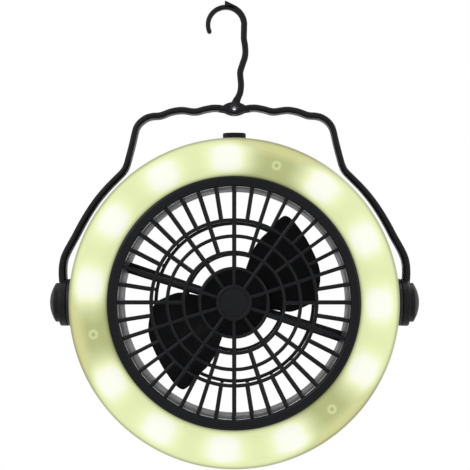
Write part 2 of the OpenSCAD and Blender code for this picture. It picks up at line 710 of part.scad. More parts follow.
// the shoulder, the corner and the waves of the grip, as [offset, height, waves], the first two as shares
// of the grip's half width
grip_table = [[1.085, -0.4801, 0], [1.053, -0.3543, 0], [1.025, -0.2318, 0], [1.005, -0.1755, 0],
    [0.967, -0.1258, 0], [0.905, -0.0828, 0], [0.84, -0.0629, -0.1], [0.76, -0.053, -0.2],
    [0.65, -0.0265, 0.3], [0.54, -0.0149, 0.5], [0.405, -0.0099, -0.4], [0.305, 0.0017, 0.1],
    [0.205, 0.0083, 0.5], [0.1, 0.0066, 0.1]];
half_path = smooth(concat([[disc_mid_x, disc_end_r * 0.5]], [for (v = arm_table) polar(body_r * v[1], v[0])],
    [for (v = grip_table) [v[0] * grip_half, grip_y + v[1] * grip_half + v[2] * wave_h]],
    [[0.9, grip_y + 0.4]]), 4);
bail_path = concat(half_path, flipped(mirrored(half_path)));
bail_last = len(bail_path) - 1;
// thick at the pivots, thin at the grip
strap_t = grip_t + 0.8;
bail_w = [for (i = [0:bail_last]) let (t = min(i, bail_last - i) / (bail_last / 2))
    strap_t + (grip_t - strap_t) * min(1, 2.2 * t)];
module bail() color([0.1, 0.1, 0.11]) difference() {
    union() {
        linear_extrude(bail_depth, center = true) strap(bail_path, bail_w);
        linear_extrude(bail_depth, center = true) translate([0, pin_y + eye_up]) eye_outline();
        both_sides() bar_x(disc_end_r, disc_x, disc_out_x);
    }
    block(-slot_half, slot_half, pin_y - 10, pin_y + 10, -slot_t / 2, slot_t / 2);
    translate([0, pin_y, 0]) rod(pin_r + tiny, -bail_depth, bail_depth);
    both_sides() {
        // room for the domed cap under the strap's foot
        bar_x(cap_r + slip, disc_out_x, disc_out_x + cap_h);
        bar_x(pivot_r + run_gap, disc_x - 1, disc_out_x + 1);
        bar_x(head_r + 0.4, disc_out_x - head_t - 2 * gap - tiny, disc_out_x + 1);
        difference() {
            bar_x(snap_r + 0.15, disc_out_x - 1.7, disc_out_x + 1);
            bar_x(snap_r - snap_w - 0.15, disc_out_x - 3, disc_out_x + 2);
        }
    }
}
// a lens between two arcs
module eye_outline() intersection_for (s = [-1, 1])
    translate([0, s * (eye_arc_r - eye_h / 2)]) circle(r = eye_arc_r);
eye_arc_r = (eye_w * eye_w / 4 + eye_h * eye_h / 4) / eye_h;

module knob_caps() color([0.12, 0.12, 0.13]) both_sides() translate([disc_out_x, 0, 0])
    rotate([0, 90, 0]) union() {
        rotate_extrude() cap_section();
        tube(snap_r, snap_r - snap_w, -1.5, tiny);
    }
// a short rim with a rounded edge and a dome on it
cap_rim = 2.8;
cap_edge_r = 0.4;
cap_dome_h = cap_h - cap_rim - cap_edge_r;
cap_sphere_r = (pow(cap_r - cap_edge_r, 2) + pow(cap_dome_h, 2)) / (2 * cap_dome_h);
module cap_section() union() {
    square([cap_r, cap_rim]);
    translate([cap_r - cap_edge_r, cap_rim]) circle(r = cap_edge_r);
    intersection() {
        translate([0, cap_h - cap_sphere_r]) circle(r = cap_sphere_r);
        square([cap_r - cap_edge_r, cap_h]);
    }
}

module hook_pin() color([0.2, 0.2, 0.21]) translate([0, pin_y, 0]) difference() {
    union() {
        rod(pin_r, -bail_depth / 2 - 0.5, bail_depth / 2 + 0.5);
        for (s = [0, 1]) mirror([0, 0, s]) rod(pin_r + 0.8, bail_depth / 2, bail_depth / 2 + 0.5);
    }
    rod(pin_bore_r, -bail_depth, bail_depth);
}

// the waved stem, from the pin up, as [offset, height], both as shares of the rise
stem_table = [[0.0038, 0.03], [0.0281, 0.105], [0.0675, 0.195], [0.0788, 0.29], [0.0694, 0.4],
    [0.0713, 0.45], [0.0957, 0.53], [0.122, 0.61], [0.1304, 0.68], [0.1238, 0.765], [0.1126, 0.835],
    [0.1135, 0.93]];
stem_path = smooth([for (v = stem_table) v * crown_rise], 3);
crown_path = [for (a = [4:5:84]) [crown_x, crown_rise] + polar(crown_r, a)];
tip_path = [for (a = [90:6:204]) [crown_x, crown_rise] + polar(crown_r - (stem_w - tip_w) / 2, a)];
module hook() color([0.1, 0.1, 0.11]) translate([0, pin_y, 0]) difference() {
    union() {
        linear_extrude(hook_t, center = true) {
            thick = concat(stem_path, crown_path, [tip_path[0]]);
            // the stem gets wider towards its foot
            strap(thick, [for (i = [0:len(thick) - 1]) stem_w + max(0, 2.6 - 0.58 * i)]);
            strap(tip_path, [for (p = tip_path) tip_w]);
            spur();
        }
        rod(3.6, -hook_t / 2, hook_t / 2);
    }
    rod(pin_r + run_gap, -hook_t, hook_t);
}
// a small barb on the crown's outside, where the strand gets thinner
module spur() translate([crown_x, crown_rise]) polygon([polar(crown_r - 1, 94), polar(crown_r - 1, 56),
    polar(crown_r + stem_w / 2 - 0.1, 56), polar(crown_r + stem_w / 2, 72),
    polar(crown_r + stem_w / 2 + 1.4, 90.5)]);

placed() rear_shell();
placed() diffuser();
placed() led_board();
placed() leds();
placed() front_grille();
placed() air_duct();
placed() rear_guard();
placed() motor();
placed() motor_cap();
placed() motor_cap_screws();
placed() motor_leads();
placed() motor_shaft();
placed() propeller();
placed() grille_screws();
placed() assembly_screws();
placed() battery_trays();
placed() cells();
placed() contact_springs();
placed() contact_plates();
placed() battery_door_a();
placed() battery_door_b();
placed() battery_door_c();
placed() supply_leads();
placed() lamp_leads();
placed() control_board();
placed() push_switch();
placed() push_button();
placed() pivot_screws();
placed() friction_washers();
placed() bail();
placed() knob_caps();
placed() hook_pin();
placed() hook();
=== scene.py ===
import math

import bmesh
import bpy
from mathutils import Matrix, Vector


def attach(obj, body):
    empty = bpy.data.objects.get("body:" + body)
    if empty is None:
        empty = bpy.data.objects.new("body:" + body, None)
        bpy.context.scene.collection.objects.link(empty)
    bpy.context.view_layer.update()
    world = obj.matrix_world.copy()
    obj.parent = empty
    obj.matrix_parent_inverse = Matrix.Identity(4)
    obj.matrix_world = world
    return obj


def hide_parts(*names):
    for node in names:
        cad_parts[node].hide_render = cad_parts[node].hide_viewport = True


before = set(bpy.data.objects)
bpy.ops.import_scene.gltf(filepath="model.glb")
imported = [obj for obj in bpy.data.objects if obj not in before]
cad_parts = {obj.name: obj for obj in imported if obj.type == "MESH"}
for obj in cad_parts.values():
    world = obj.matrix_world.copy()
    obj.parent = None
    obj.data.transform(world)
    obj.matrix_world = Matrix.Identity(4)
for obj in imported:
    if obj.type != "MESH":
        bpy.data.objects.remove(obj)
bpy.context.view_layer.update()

metre = 1000


def span(node, axis):
    # lowest and highest place of a CAD node along a row axis, in millimetres
    places = [metre * corner[axis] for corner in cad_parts[node].bound_box]
    return min(places), max(places)


# All sizes are in millimetres, in the face frame of the CAD source:
# X to the right, Y up, Z out of the front, with the fan's axis at 0.
hangH = -sum(span("air_duct", 2)) / 2    # from the fan's axis up to the hook's seat
pinY = hangH + sum(span("hook_pin", 2)) / 2
faceZ = -span("front_grille", 1)[0]
backZ = -span("rear_shell", 1)[1]
bodyR = 101.25                           # outside of the rear shell
rimZ = 9.0                               # its front edge, on which the diffuser stands
shellWall = 2.2
bossEnd = 103.05                         # outer end of the pivot bosses, from the fan's axis
discR = 14.6                             # pivot bosses and the discs of the bail
ductR, ductOutR = 70.4, 72.2
ductBack, ductFront = -16.5, 19.2
strutAngle = 162.0
postCircleR = 86.975
postAngles = [72.7, 192.7, 312.7]
bayAngles = [angle + 60 for angle in postAngles]
faceToRow = (Matrix.Translation((0, 0, -hangH / metre)) @ Matrix.Rotation(math.radians(90), 4, "X")
             @ Matrix.Scale(1 / metre, 4))


def aimed(name, data, start, target):
    # a camera or lamp that looks from one point at another, both in metres
    thing = bpy.data.objects.new(name, data)
    thing.location = start
    thing.rotation_mode = "QUATERNION"
    thing.rotation_quaternion = (Vector(target) - Vector(start)).to_track_quat("-Z", "Y")
    bpy.context.scene.collection.objects.link(thing)
    return thing


# The camera stands 0.77 m in front of the fan, a little right of its axis and above it, and looks up
# by 2.3 degrees.
camera = dict(start=(9.87, 9.45, 799), target=(0.72, 40.86, faceZ), lens=98.3, sensor=36, nearest=0.02)
cameraData = bpy.data.cameras.new("camera")
cameraData.lens = camera["lens"]
cameraData.sensor_width = camera["sensor"]
cameraData.clip_start = camera["nearest"]
bpy.context.scene.camera = aimed("camera", cameraData, faceToRow @ Vector(camera["start"]),
                                 faceToRow @ Vector(camera["target"]))
bpy.context.scene.view_settings.view_transform = "Standard"

# start, target and diameter in metres, power in watts
for name, start, target, size, power in [
        ("keyLamp", (-0.9, -0.9, 0.55), (0, 0, -0.15), 0.7, 8),
        ("fillLamp", (1.0, -0.7, 0.1), (0, 0, -0.15), 0.9, 3.5),
        ("backLamp", (0.8, 0.6, 0.8), (0, 0, -0.15), 0.7, 8),
        ("overheadLamp", (0.0, 0.25, 1.3), (0, 0.1, -0.3), 1.2, 7),
        ("rimLamp", (0.0, 1.1, -0.15), (0, 0, -0.18), 0.25, 0.22)]:
    data = bpy.data.lights.new(name, "AREA")
    data.shape = "DISK"
    data.size = size
    data.energy = power
    aimed(name, data, start, target)


def linear(hexCode):
    # sRGB hex to linear RGBA
    parts = [int(hexCode[i:i + 2], 16) / 255 for i in (1, 3, 5)]
    return [p / 12.92 if p <= 0.04045 else ((p + 0.055) / 1.055) ** 2.4 for p in parts] + [1.0]


def addNode(tree, kind, settings=None, **links):
    # settings: attributes by name, socket values by name or index, and a ramp's stops
    # links: socket name, or i and its index, to an output or to a node's first output
    node = tree.nodes.new("ShaderNode" + kind)
    for key, value in (settings or {}).items():
        if key == "stops":
            stops = node.color_ramp.elements
            stops.remove(stops[-1])
            for i, (spot, colour) in enumerate(value):
                stop = stops[0] if i == 0 else stops.new(spot)
                stop.position = spot
                stop.color = linear(colour) if isinstance(colour, str) else colour
        elif isinstance(key, int) or key in node.inputs:
            node.inputs[key].default_value = value
        else:
            setattr(node, key, value)
    for key, source in links.items():
        socket = int(key[1:]) if key[1:].isdigit() else key.replace("_", " ")
        tree.links.new(getattr(source, "outputs", [source])[0], node.inputs[socket])
    return node


def backdropRays(tree):
    # 1 for the rays that show the background: camera, glossy and transmission rays
    rays = addNode(tree, "LightPath")
    seen = rays.outputs["Is Camera Ray"]
    for kind in ("Is Glossy Ray", "Is Transmission Ray"):
        seen = addNode(tree, "Math", {"operation": "MAXIMUM"}, i0=seen, i1=rays.outputs[kind])
    return seen


world = bpy.data.worlds.new("studio")
bpy.context.scene.world = world
world.use_nodes = True
sky = world.node_tree
sky.nodes.clear()
softSky = addNode(sky, "Background", {"Color": linear("#F2F4F6"), "Strength": 0.22})
whiteSky = addNode(sky, "Background", {"Color": linear("#FFFFFF"), "Strength": 1.0})
addNode(sky, "OutputWorld", Surface=addNode(sky, "MixShader", i0=backdropRays(sky), i1=softSky, i2=whiteSky))
print("stage: camera and lamps")


def newLook(name):
    look = bpy.data.materials.new(name)
    look.use_nodes = True
    look.node_tree.nodes.clear()
    return look, look.node_tree


def surface(name, dark, light, patch, rough, grain, depth, shader):
    # Two tones in soft patches, a roughness that varies, and a fine grain in the bump.
    # patch, grain and depth are millimetres; rough is the lowest and highest roughness.
    look, tree = newLook(name)
    spot = addNode(tree, "TexCoord").outputs["Object"]
    patches = addNode(tree, "TexNoise", {"Scale": metre / patch, "Detail": 3.0}, Vector=spot)
    tones = addNode(tree, "ValToRGB", {"stops": [(0.3, dark), (0.7, light)]}, Fac=patches)
    rubbing = addNode(tree, "TexNoise", {"Scale": metre / (patch * 0.4), "Detail": 4.0}, Vector=spot)
    polish = addNode(tree, "MapRange", {"From Min": 0.3, "From Max": 0.7,
                                        "To Min": rough[0], "To Max": rough[1]}, Value=rubbing)
    fine = addNode(tree, "TexNoise", {"Scale": metre / grain, "Detail": 2.0, "Roughness": 0.6}, Vector=spot)
    bump = addNode(tree, "Bump", {"Strength": 1.0, "Distance": depth / metre}, Height=fine)
    base = addNode(tree, "BsdfPrincipled", shader, Base_Color=tones, Roughness=polish, Normal=bump)
    addNode(tree, "OutputMaterial", Surface=base)
    return look


# ABS off a spark-eroded mould: dull, with a grain of about half a millimetre.
texturedAbs = surface("moulded_abs_textured", "#1A1B1F", "#222327", 30, (0.42, 0.52), 0.5, 0.02,
                      {"IOR": 1.54, "Specular IOR Level": 0.22})
# ABS off a polished mould: half gloss, and a hint of flow marks.
polishedAbs = surface("moulded_abs_polished", "#0D0E11", "#141518", 40, (0.3, 0.42), 2.5, 0.01,
                      {"IOR": 1.5, "Specular IOR Level": 0.15})
# The same, rubbed by hands: the bail, the hook and the knobs.
handledAbs = surface("moulded_abs_handled", "#0B0B0E", "#131317", 18, (0.42, 0.56), 1.2, 0.012,
                     {"IOR": 1.46, "Specular IOR Level": 0.2})
# Polypropylene blades: waxy, with a weak sheen.
blackPolypropylene = surface("moulded_polypropylene", "#0B0C0E", "#121316", 25, (0.34, 0.46), 1.5, 0.01,
                             {"IOR": 1.49, "Specular IOR Level": 0.08})
# Grey ABS of the duct and the trays, satin.
greyAbs = surface("moulded_abs_grey", "#1F2124", "#282A2E", 30, (0.46, 0.58), 0.8, 0.012,
                  {"IOR": 1.54, "Specular IOR Level": 0.15})
# Zinc plate with a blue-white chromate, a little uneven.
zincPlate = surface("zinc_plated_steel", "#A9ADB2", "#C3C6CA", 3, (0.24, 0.38), 0.4, 0.004,
                    {"Metallic": 1.0})
# Nickel plate on spring wire and strip.
nickelPlate = surface("nickel_plated_strip", "#B9B3A6", "#CFC9BC", 4, (0.18, 0.3), 0.3, 0.003,
                      {"Metallic": 1.0})
# Steel blackened in an oxide bath.
blackOxide = surface("black_oxide_steel", "#2B2B2D", "#3A3A3D", 2, (0.3, 0.45), 0.3, 0.003, {"Metallic": 1.0})
# Deep-drawn can, brushed by the tool along its length.
drawnCan = surface("drawn_zinc_can", "#9A9EA3", "#B7BABE", 6, (0.26, 0.4), 0.6, 0.006, {"Metallic": 1.0})
# PVC insulation, soft and slightly matt.
redInsulation = surface("pvc_insulation_red", "#8E1414", "#A51C1A", 5, (0.36, 0.48), 0.4, 0.004,
                        {"IOR": 1.53})
blackInsulation = surface("pvc_insulation_black", "#151516", "#1E1E20", 5, (0.36, 0.48), 0.4, 0.004,
                          {"IOR": 1.53})
# Solder mask over fibreglass: the weave shows as a faint grain.
whiteMask = surface("solder_mask_white", "#DADCD6", "#E9EAE4", 12, (0.24, 0.36), 0.9, 0.01, {"IOR": 1.55})
greenMask = surface("solder_mask_green", "#11472B", "#1A5A38", 12, (0.22, 0.34), 0.9, 0.01, {"IOR": 1.55})
# Nitrile washer, dull.
nitrile = surface("nitrile_rubber", "#1B1B1B", "#262626", 6, (0.62, 0.78), 0.5, 0.01, {"IOR": 1.5})
# Shrink sleeve of a battery cell, plain and unprinted.
shrinkSleeve = surface("shrink_sleeve", "#34363D", "#42454D", 20, (0.26, 0.36), 2, 0.008, {"IOR": 1.5})
# Phenolic switch housing.
phenolic = surface("phenolic_housing", "#26262A", "#303035", 5, (0.4, 0.52), 0.5, 0.006, {"IOR": 1.6})
# Studio paper, pale and dull; the rays that show the background see it a little paler still.
floorPaper = surface("studio_paper", "#F4F4F2", "#FAFAF8", 400, (0.75, 0.85), 3, 0.02,
                     {"IOR": 1.45, "Emission Color": linear("#FFFFFF")})
paperTree = floorPaper.node_tree
paperGlow = addNode(paperTree, "Math", {"operation": "MULTIPLY", 1: 0.25}, i0=backdropRays(paperTree))
paperTree.links.new(paperGlow.outputs[0], paperTree.nodes["Principled BSDF"].inputs["Emission Strength"])


def glowLook():
    # Milky polycarbonate over twelve LEDs. Each LED makes a broad near-white patch; the light between
    # them is yellow-green, and round the three screw posts it is olive.
    glow = dict(circle=88, firstLed=20, ledStep=26.67, patchHalf=4, patchReach=20, blend=6, postShading=4,
                outerStart=90, outerEnd=95, fadeStart=76, fadeEnd=102, cloud=14, smear=12, grain=0.8,
                grainDepth=0.01)
    look, tree = newLook("milky_polycarbonate_lit")
    spot = addNode(tree, "TexCoord").outputs["Object"]
    flat = addNode(tree, "VectorMath", {"operation": "MULTIPLY_ADD", 1: (metre, 0, metre), 2: (0, 0, hangH)},
                   i0=spot)
    radius = addNode(tree, "VectorMath", {"operation": "LENGTH"}, i0=flat).outputs["Value"]
    sides = addNode(tree, "SeparateXYZ", i0=flat)
    angle = addNode(tree, "Math", {"operation": "ARCTAN2"}, i0=sides.outputs["Z"], i1=sides.outputs["X"])
    # degrees to the nearest post, and from there to its LED or to the nearest other one
    turn = addNode(tree, "Math", {"operation": "MULTIPLY_ADD", 1: 180 / math.pi, 2: -postAngles[0]}, i0=angle)
    fromPost = addNode(tree, "Math", {"operation": "PINGPONG", 1: 60}, i0=turn)
    beforeFirst = addNode(tree, "Math", {"operation": "SUBTRACT", 0: glow["firstLed"]}, i1=fromPost)
    near = addNode(tree, "Math", {"operation": "PINGPONG", 1: glow["ledStep"] / 2}, i0=beforeFirst)
    gap = addNode(tree, "Math", {"operation": "MAXIMUM"}, i0=near, i1=beforeFirst)
    clouds = addNode(tree, "TexNoise", {"Scale": metre / glow["cloud"], "Detail": 2.0}, Vector=spot)
    wobble = addNode(tree, "MapRange", {"From Min": 0.3, "From Max": 0.7, "To Min": 0.96, "To Max": 1.04},
                     Value=clouds)
    sideways = addNode(tree, "Math", {"operation": "MULTIPLY"}, i0=gap, i1=wobble)
    # the patches are as long as the ring is wide, with round corners
    offCircle = addNode(tree, "Math", {"operation": "SUBTRACT", 1: glow["circle"]}, i0=radius)
    awayFromIt = addNode(tree, "Math", {"operation": "ABSOLUTE"}, i0=offCircle)
    outwards = addNode(tree, "MapRange", {"From Min": glow["patchHalf"], "From Max": glow["patchHalf"] + 10,
                                          "To Max": 15}, Value=awayFromIt)
    both = addNode(tree, "CombineXYZ", X=sideways, Y=outwards)
    reach = addNode(tree, "VectorMath", {"operation": "LENGTH"}, i0=both).outputs["Value"]
    offset = addNode(tree, "MapRange", {"From Max": glow["patchReach"]}, Value=reach)
    between = addNode(tree, "ValToRGB", {"stops": [
        (0.1, "#FBFDF1"), (0.2, "#FAFCEC"), (0.25, "#F8FCE5"), (0.3, "#F4F9D9"), (0.35, "#F1F7CC"),
        (0.4, "#EDF4C2"), (0.45, "#EAF2BC"), (0.5, "#E7F0B8"), (0.575, "#E5EDB5"), (0.665, "#E4ECB4")]},
                      Fac=offset)
    byPost = addNode(tree, "ValToRGB", {"stops": [
        (0.1, "#FBFCF0"), (0.2, "#FAFBEB"), (0.25, "#F9FBE4"), (0.3, "#F4F8D4"), (0.35, "#ECF2C3"),
        (0.4, "#E4EBB6"), (0.5, "#D4DBA7"), (0.6, "#C6CD97"), (0.7, "#BBC289"), (0.8, "#B4BA80")]},
                     Fac=offset)
    # next to a post the outer edge is the lighter one
    outer = addNode(tree, "MapRange", {"From Min": glow["outerStart"], "From Max": glow["outerEnd"],
                                       "To Max": 0.6}, Value=radius)
    far = addNode(tree, "MapRange", {"From Min": 0.45, "From Max": 0.65}, Value=offset)
    lift = addNode(tree, "Math", {"operation": "MULTIPLY"}, i0=outer, i1=far)
    lifted = addNode(tree, "Mix", {"data_type": "RGBA", 7: linear("#DFDD9E")}, i0=lift, i6=byPost)
    share = addNode(tree, "MapRange", {"From Min": -glow["blend"], "From Max": glow["blend"]},
                    Value=beforeFirst)
    light = addNode(tree, "Mix", {"data_type": "RGBA"}, i0=share, i6=between, i7=lifted.outputs[2])
    # painted light and shade of the screw posts behind the diffuser: a pale ring round a darker middle, both
    # soft
    radians = addNode(tree, "Math", {"operation": "RADIANS"}, i0=fromPost)
    sine = addNode(tree, "Math", {"operation": "SINE"}, i0=radians)
    across = addNode(tree, "Math", {"operation": "MULTIPLY"}, i0=sine, i1=radius)
    along = addNode(tree, "Math", {"operation": "SUBTRACT", 1: postCircleR}, i0=radius)
    fromPostShading = addNode(tree, "CombineXYZ", X=across, Y=along)
    away = addNode(tree, "VectorMath", {"operation": "LENGTH"}, i0=fromPostShading).outputs["Value"]
    postShadingSpot = addNode(tree, "MapRange", {"From Max": glow["postShading"]}, Value=away)
    ring, hole = linear("#D5DCA6")[:3], linear("#A5AD72")[:3]
    postShading = addNode(tree, "ValToRGB", {"stops": [
        (0, (*hole, 0.8)), (0.16, (*hole, 0.8)), (0.42, (*ring, 0.75)), (0.6, (*ring, 0.75)),
        (0.82, (*ring, 0.0)), (1, (*ring, 0.0))]}, Fac=postShadingSpot)
    withPostShading = addNode(tree, "Mix", {"data_type": "RGBA"}, i0=postShading.outputs["Alpha"], i6=light.outputs[2],
                     i7=postShading)
    # the light fades towards the bezel and over the rounded outer edge
    start, end = glow["fadeStart"], glow["fadeEnd"]
    fadeSpot = addNode(tree, "MapRange", {"From Min": start, "From Max": end}, Value=radius)
    fade = addNode(tree, "ValToRGB", {"stops": [
        ((place - start) / (end - start), (level, level, level, 1)) for place, level in (
            (76.9, 0.36), (77.9, 0.76), (78.6, 0.85), (79.2, 0.92), (79.8, 0.95), (82.2, 0.96), (86, 1),
            (96.8, 1), (97.5, 0.98), (98.1, 0.95), (98.6, 0.87), (99.1, 0.7), (99.6, 0.55), (100.3, 0.49),
            (101, 0.55))]}, Fac=fadeSpot)
    lit = addNode(tree, "Mix", {"data_type": "RGBA", "blend_type": "MULTIPLY", 0: 1.0}, i6=withPostShading.outputs[2],
                  i7=fade)
    grain = addNode(tree, "TexNoise", {"Scale": metre / glow["grain"], "Detail": 2.0, "Roughness": 0.6},
                    Vector=spot)
    bump = addNode(tree, "Bump", {"Strength": 1.0, "Distance": glow["grainDepth"] / metre}, Height=grain)
    smears = addNode(tree, "TexNoise", {"Scale": metre / glow["smear"], "Detail": 3.0}, Vector=spot)
    polish = addNode(tree, "MapRange", {"From Min": 0.3, "From Max": 0.7, "To Min": 0.4, "To Max": 0.5},
                     Value=smears)
    base = addNode(tree, "BsdfPrincipled", {"Base Color": linear("#25261F"), "IOR": 1.5,
                                            "Specular IOR Level": 0.12, "Emission Strength": 0.99},
                   Emission_Color=lit.outputs[2], Roughness=polish, Normal=bump)
    addNode(tree, "OutputMaterial", Surface=base)
    return look


milkyLens = glowLook()


def ledLook():
    # White package with a yellow phosphor window; the window is what shines.
    look, tree = newLook("led_phosphor")
    spot = addNode(tree, "TexCoord").outputs["Object"]
    grain = addNode(tree, "TexNoise", {"Scale": metre / 0.3, "Detail": 2.0}, Vector=spot)
    tones = addNode(tree, "ValToRGB", {"stops": [(0, "#F4E58A"), (1, "#FFF6B8")]}, Fac=grain)
    polish = addNode(tree, "MapRange", {"From Min": 0.3, "From Max": 0.7, "To Min": 0.2, "To Max": 0.35},
                     Value=grain)
    base = addNode(tree, "BsdfPrincipled", {"IOR": 1.41, "Emission Strength": 2.0},
                   Base_Color=tones, Emission_Color=tones, Roughness=polish)
    addNode(tree, "OutputMaterial", Surface=base)
    return look


ledPhosphor = ledLook()
print("stage: materials")


def rounded(corners, steps=4):
    # corners: (x, y, radius). Each corner with a radius becomes an arc.
    points = []
    count = len(corners)
    for i, (x, y, radius) in enumerate(corners):
        here = Vector((x, y))
        if radius == 0:
            points.append(here)
            continue
        toLast = (Vector(corners[i - 1][:2]) - here).normalized()
        toNext = (Vector(corners[(i + 1) % count][:2]) - here).normalized()
        half = toLast.angle(toNext) / 2
        reach = radius / math.tan(half)
        middle = here + (toLast + toNext).normalized() * (radius / math.sin(half))
        start = here + toLast * reach - middle
        end = here + toNext * reach - middle
        arc = math.atan2(start.cross(end), start.dot(end))
        for k in range(steps + 1):
            points.append(middle + Matrix.Rotation(arc * k / steps, 2) @ start)
    return points


def roundRect(width, length, radius, centre=(0, 0), steps=5):
    # a rectangle with round corners, about its centre
    x, y = width / 2, length / 2
    points = rounded([(x, -y, radius), (x, y, radius), (-x, y, radius), (-x, -y, radius)], steps)
    return [p + Vector(centre) for p in points]


def polar(radius, angle):
    # a point at a distance from 0, its angle in degrees from X
    turn = math.radians(angle)
    return Vector((radius * math.cos(turn), radius * math.sin(turn)))


def curveThrough(points, steps):
    # Catmull-Rom, as in the CAD source
    def at(a, b, c, d, t):
        return (2 * b + (c - a) * t + (2 * a - 5 * b + 4 * c - d) * t * t
                + (3 * b - a - 3 * c + d) * t ** 3) / 2
    knots = [Vector(point) for point in points]
    last = len(knots) - 1
    curve = [at(knots[max(i - 1, 0)], knots[i], knots[i + 1], knots[min(i + 2, last)], k / steps)
             for i in range(last) for k in range(steps)]
    return curve + [knots[last]]


def spun(angle):
    # a turn round Z, in degrees
    return Matrix.Rotation(math.radians(angle), 4, "Z")


def shifted(x=0, y=0, z=0):
    # a move without a turn
    return Matrix.Translation((x, y, z))


def finishMesh(bm, seam=0.0005):
    # closes seams and poles, and turns the faces outwards
    bmesh.ops.remove_doubles(bm, verts=bm.verts, dist=seam)
    bmesh.ops.recalc_face_normals(bm, faces=bm.faces)


def joined(target, bm, matrix=Matrix.Identity(4)):
    # adds a finished bmesh to another, and frees it
    finishMesh(bm)
    bm.transform(matrix)
    mesh = bpy.data.meshes.new("part")
    bm.to_mesh(mesh)
    bm.free()
    target.from_mesh(mesh)
    bpy.data.meshes.remove(mesh)


def ringOf(bm, points):
    # a closed ring of vertices and edges through 3D points
    verts = [bm.verts.new(p) for p in points]
    return verts, [bm.edges.new((verts[i - 1], verts[i])) for i in range(len(verts))]


def lathed(outline, steps, closed=True):
    # outline: (radius, height) points, turned about Z
    bm = bmesh.new()
    verts = [bm.verts.new((p[0], 0, p[1])) for p in outline]
    pairs = [(verts[i - 1], verts[i]) for i in range(0 if closed else 1, len(verts))]
    edges = [bm.edges.new(pair) for pair in pairs]
    bmesh.ops.spin(bm, geom=verts + edges, cent=(0, 0, 0), axis=(0, 0, 1), dvec=(0, 0, 0),
                   angle=math.tau, steps=steps, use_merge=True, use_duplicate=False)
    return bm


def rodAt(radius, low, high, x=0, angle=0, steps=48):
    # a rod along Z, moved along X and then turned about Z
    bm = bmesh.new()
    bmesh.ops.create_cone(bm, cap_ends=True, segments=steps, radius1=radius, radius2=radius, depth=high - low)
    bm.transform(spun(angle) @ shifted(x, 0, (low + high) / 2))
    return bm


def prism(outline, low, high):
    # a flat outline raised from z low to z high
    bm = bmesh.new()
    edges = ringOf(bm, [(p[0], p[1], low) for p in outline])[1]
    face = bmesh.ops.contextual_create(bm, geom=edges)["faces"][0]
    raised = bmesh.ops.extrude_face_region(bm, geom=[face])["geom"]
    bmesh.ops.translate(bm, vec=(0, 0, high - low),
                        verts=[v for v in raised if isinstance(v, bmesh.types.BMVert)])
    bm.normal_update()
    return bm


def edgesAbove(bm, z):
    # the edges that lie wholly above a height
    return [e for e in bm.edges if min(v.co.z for v in e.verts) > z]


def bevelled(bm, edges, size, segments=3):
    bmesh.ops.bevel(bm, geom=list(edges), offset=size, segments=segments, profile=0.5, affect="EDGES",
                    material=-1, clamp_overlap=True)


def turned(bm, maker, angles):
    # adds what the maker makes at each angle round the fan's axis
    for angle in angles:
        part = bmesh.new()
        maker(part)
        joined(bm, part, spun(angle))


def sweep(path, widths, depth, crest, tip=False):
    # a strap that follows a path in XY, its section a rounded rectangle
    def section(i, shrink=1.0, ahead=0.0):
        before, after = path[max(i - 1, 0)], path[min(i + 1, len(path) - 1)]
        along = (after - before).normalized()
        side = Vector((-along.y, along.x))
        x, y = widths[i] / 2 * shrink, depth / 2 - (1 - shrink) * widths[i] / 2
        radius = min(crest, x * 0.92)
        flat = roundRect(2 * x, 2 * y, radius, steps=4)
        return [(*(path[i] + along * ahead + side * p.x), p.y) for p in flat]
    bm = bmesh.new()
    verts, edges = ringOf(bm, section(0))
    bmesh.ops.contextual_create(bm, geom=edges)
    rows = [section(i) for i in range(1, len(path))]
    if tip:
        end = len(path) - 1
        rows += [section(end, math.cos(a), math.sin(a) * widths[end] / 2) for a in (0.4, 0.8, 1.15, 1.4)]
    for row in rows:
        made = set(bmesh.ops.extrude_edge_only(bm, edges=edges)["geom"])
        verts = [next(e.other_vert(v) for e in v.link_edges if e.other_vert(v) in made) for v in verts]
        for v, p in zip(verts, row):
            v.co = p
        edges = [bm.edges.get((verts[k - 1], verts[k])) for k in range(len(verts))]
    bmesh.ops.contextual_create(bm, geom=edges)
    return bm


def cut(bm, cutters):
    # takes closed shapes out of a closed shape, and gives back a new bmesh
    objects = []
    for shape in [bm] + cutters:
        finishMesh(shape)
        mesh = bpy.data.meshes.new("work")
        shape.to_mesh(mesh)
        shape.free()
        objects.append(bpy.data.objects.new("work", mesh))
        bpy.context.scene.collection.objects.link(objects[-1])
    for tool in objects[1:]:
        step = objects[0].modifiers.new("cut", "BOOLEAN")
        step.operation = "DIFFERENCE"
        step.solver = "EXACT"
        step.object = tool
    done = objects[0].evaluated_get(bpy.context.evaluated_depsgraph_get()).to_mesh()
    result = bmesh.new()
    result.from_mesh(done)
    for o in objects:
        bpy.data.meshes.remove(o.data)
    return result


def place(bm, spec):
    # makes the object of a finished bmesh in the row frame
    finishMesh(bm)
    bm.transform(faceToRow)
    mesh = bpy.data.meshes.new(spec["name"])
    bm.to_mesh(mesh)
    bm.free()
    mesh.polygons.foreach_set("use_smooth", [True] * len(mesh.polygons))
    mesh.set_sharp_from_angle(angle=math.radians(spec.get("sharp", 38)))
    mesh.materials.append(spec["look"])
    piece = bpy.data.objects.new(spec["name"], mesh)
    bpy.context.scene.collection.objects.link(piece)
    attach(piece, spec["body"])
    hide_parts(*spec["nodes"])


# In the outlines below, each corner is its radius from the axis, its height and its rounding.

